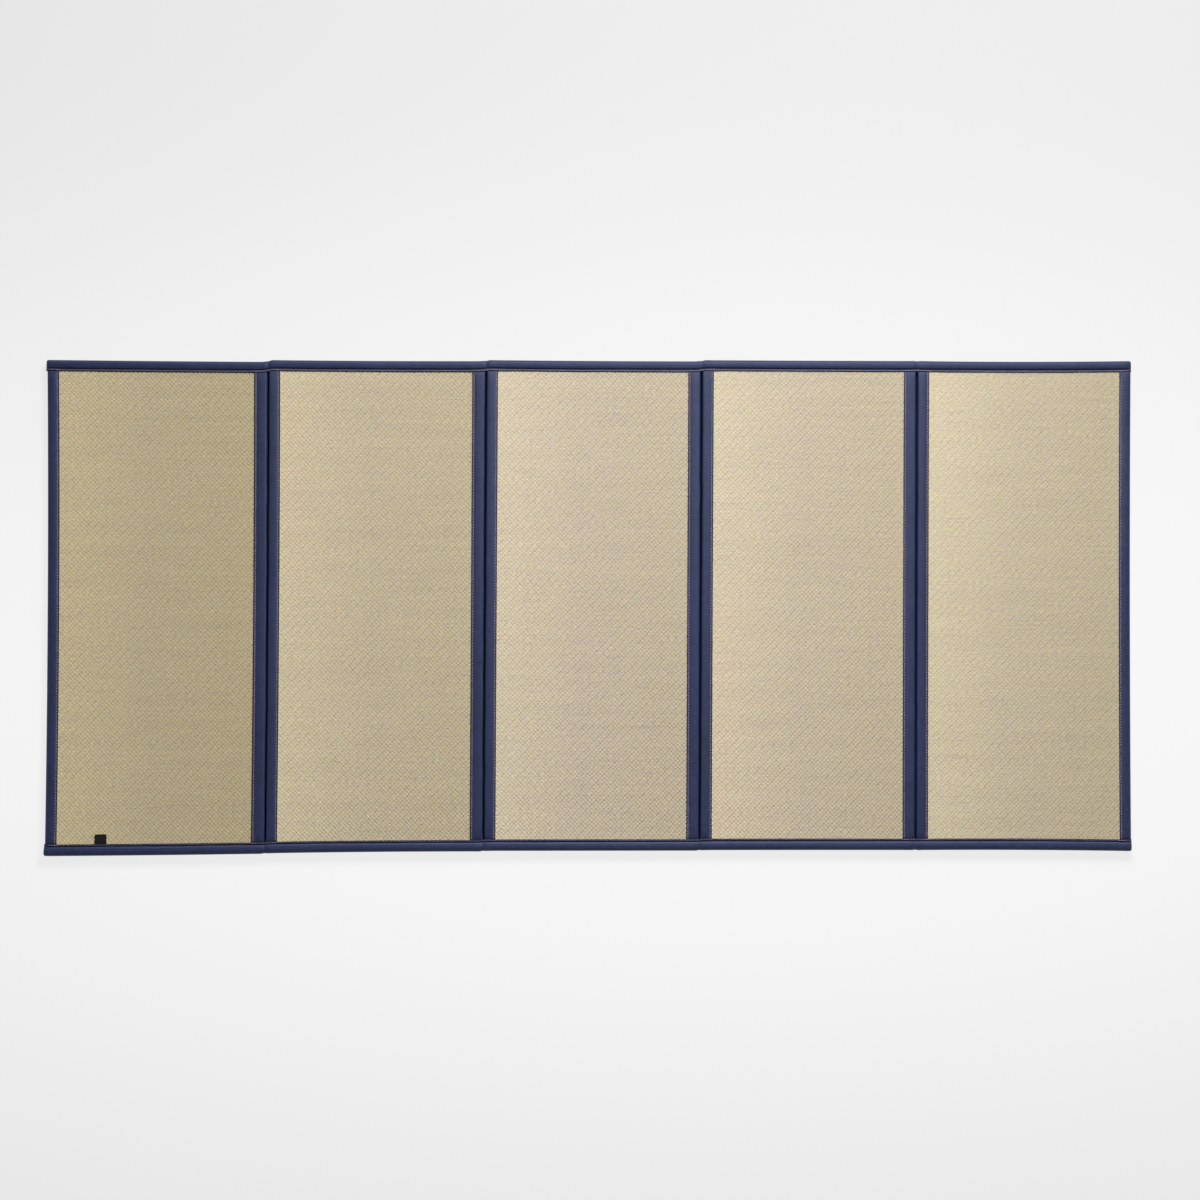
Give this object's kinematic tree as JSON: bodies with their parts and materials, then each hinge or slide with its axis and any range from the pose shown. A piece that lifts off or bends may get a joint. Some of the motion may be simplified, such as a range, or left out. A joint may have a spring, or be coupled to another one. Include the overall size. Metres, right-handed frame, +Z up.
{
  "type": "folding tatami mat",
  "caption": "Folding floor mat laid flat: oblong pads faced with woven rush, side by side, edged and joined by navy cloth bindings, with a small bare black label.",
  "frame": {"origin": "middle of the mat's underside, at the bottom centre of its box", "axes": "+X along the length, with the label at the -X end; +Y across the width, away from the label's edge; +Z up, the rush side"},
  "size_m": [2.0094, 0.9113, 0.02],
  "materials": {
    "rush": "woven rush stalks, satin, pale straw to olive",
    "binding_cloth": "matt navy cotton binding cloth with pale thread",
    "label_ribbon": "black woven ribbon, slightly shiny"
  },
  "bodies": {
    "root": {"panel_1": "rush", "panel_2": "rush", "panel_3": "rush", "panel_4": "rush", "panel_5": "rush", "binding_back": "binding_cloth", "binding_front": "binding_cloth", "binding_end_left": "binding_cloth", "binding_end_right": "binding_cloth", "binding_fold_1_left": "binding_cloth", "binding_fold_1_right": "binding_cloth", "binding_fold_2_left": "binding_cloth", "binding_fold_2_right": "binding_cloth", "binding_fold_3_left": "binding_cloth", "binding_fold_3_right": "binding_cloth", "binding_fold_4_left": "binding_cloth", "binding_fold_4_right": "binding_cloth", "label": "label_ribbon"}
  },
  "joints": []
}
